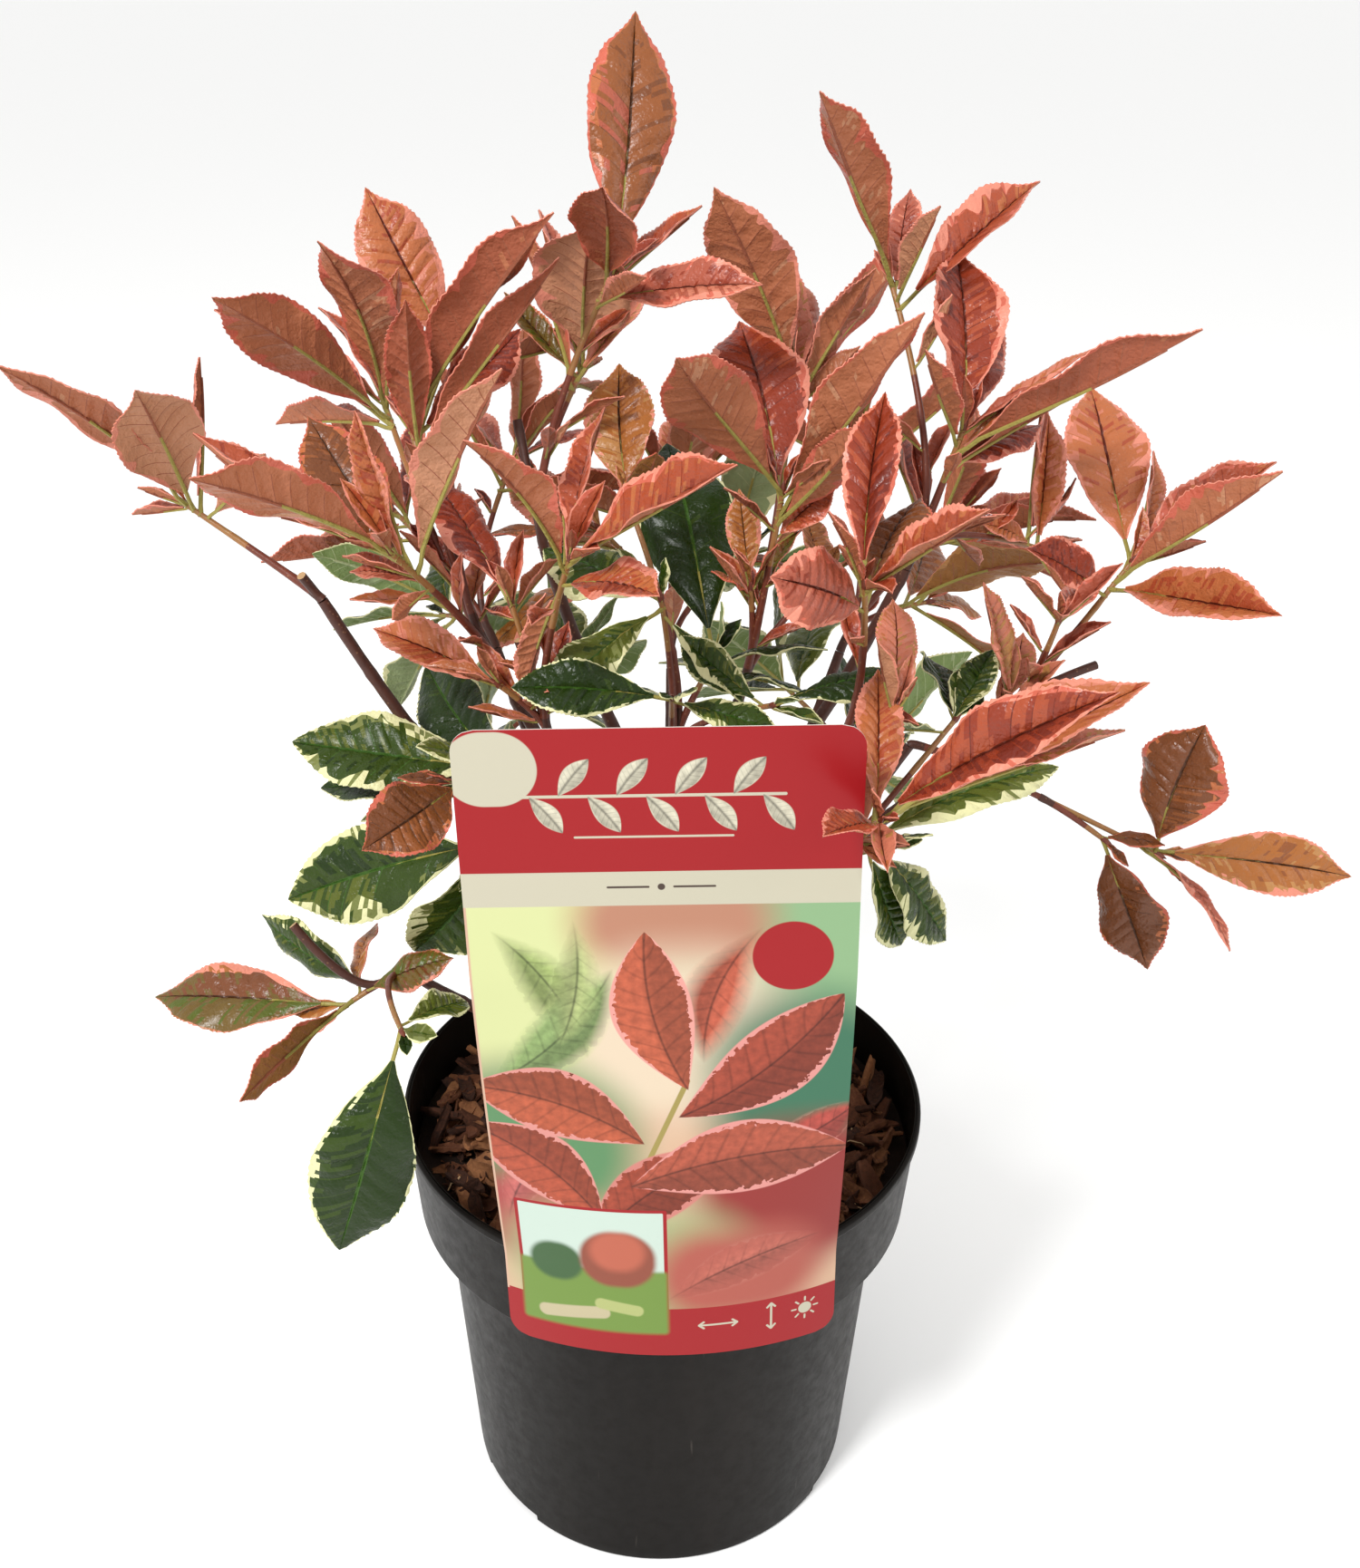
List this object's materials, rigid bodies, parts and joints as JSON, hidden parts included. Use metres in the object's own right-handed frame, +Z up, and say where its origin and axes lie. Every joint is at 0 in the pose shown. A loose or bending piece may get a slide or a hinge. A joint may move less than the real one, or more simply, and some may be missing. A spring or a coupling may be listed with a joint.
{
  "type": "potted red tip photinia",
  "caption": "Young evergreen shrub with coral, bronze and cream-edged green leaves, in a round black nursery pot with a picture label.",
  "frame": {"origin": "centre of the pot's flat underside, at the mount named foot", "axes": "+Z up from the ground to the top leaf, -Y towards the viewer and the picture label, +X to the viewer's right"},
  "size_m": [0.4998, 0.3641, 0.6253],
  "materials": {
    "black_pot_plastic": "moulded polypropylene, satin, slightly scuffed",
    "bark_mulch": "loose bark chips over potting soil, matt",
    "printed_card": "printed plastic card, satin",
    "white_hook_plastic": "white plastic strip, satin",
    "red_brown_bark": "smooth young bark, matt",
    "coral_leaves": "glossy young leaves, coral red",
    "bronze_leaves": "satin leaves, bronze brown",
    "marbled_green_leaves": "satin leaves, green with cream edges"
  },
  "bodies": {
    "root": {"pot": "black_pot_plastic", "root_ball": "bark_mulch", "label_card": "printed_card", "label_hook": "white_hook_plastic", "main_stem": "red_brown_bark", "bough_far_left": "red_brown_bark", "bough_left": "red_brown_bark", "bough_top": "red_brown_bark", "bough_front": "red_brown_bark", "bough_middle": "red_brown_bark", "bough_heart": "red_brown_bark", "bough_right_high": "red_brown_bark", "bough_front_right": "red_brown_bark", "bough_label_edge": "red_brown_bark", "bough_right": "red_brown_bark", "bough_low_right": "red_brown_bark", "bough_left_green": "red_brown_bark", "bough_low_left": "red_brown_bark", "bough_back_left": "red_brown_bark", "bough_back": "red_brown_bark", "bough_back_right": "red_brown_bark", "bough_low_back_left": "red_brown_bark", "bough_low_back_right": "red_brown_bark", "foliage_far_left": "coral_leaves", "foliage_left": "coral_leaves", "foliage_top": "coral_leaves", "foliage_front": "coral_leaves", "foliage_middle": "coral_leaves", "foliage_heart": "marbled_green_leaves", "foliage_right_high": "coral_leaves", "foliage_front_right": "coral_leaves", "foliage_label_edge": "coral_leaves", "foliage_right": "coral_leaves", "foliage_low_right": "bronze_leaves", "foliage_left_green": "marbled_green_leaves", "foliage_low_left": "bronze_leaves", "foliage_back_left": "coral_leaves", "foliage_back": "coral_leaves", "foliage_back_right": "coral_leaves", "foliage_low_back_left": "marbled_green_leaves", "foliage_low_back_right": "marbled_green_leaves"}
  },
  "joints": []
}
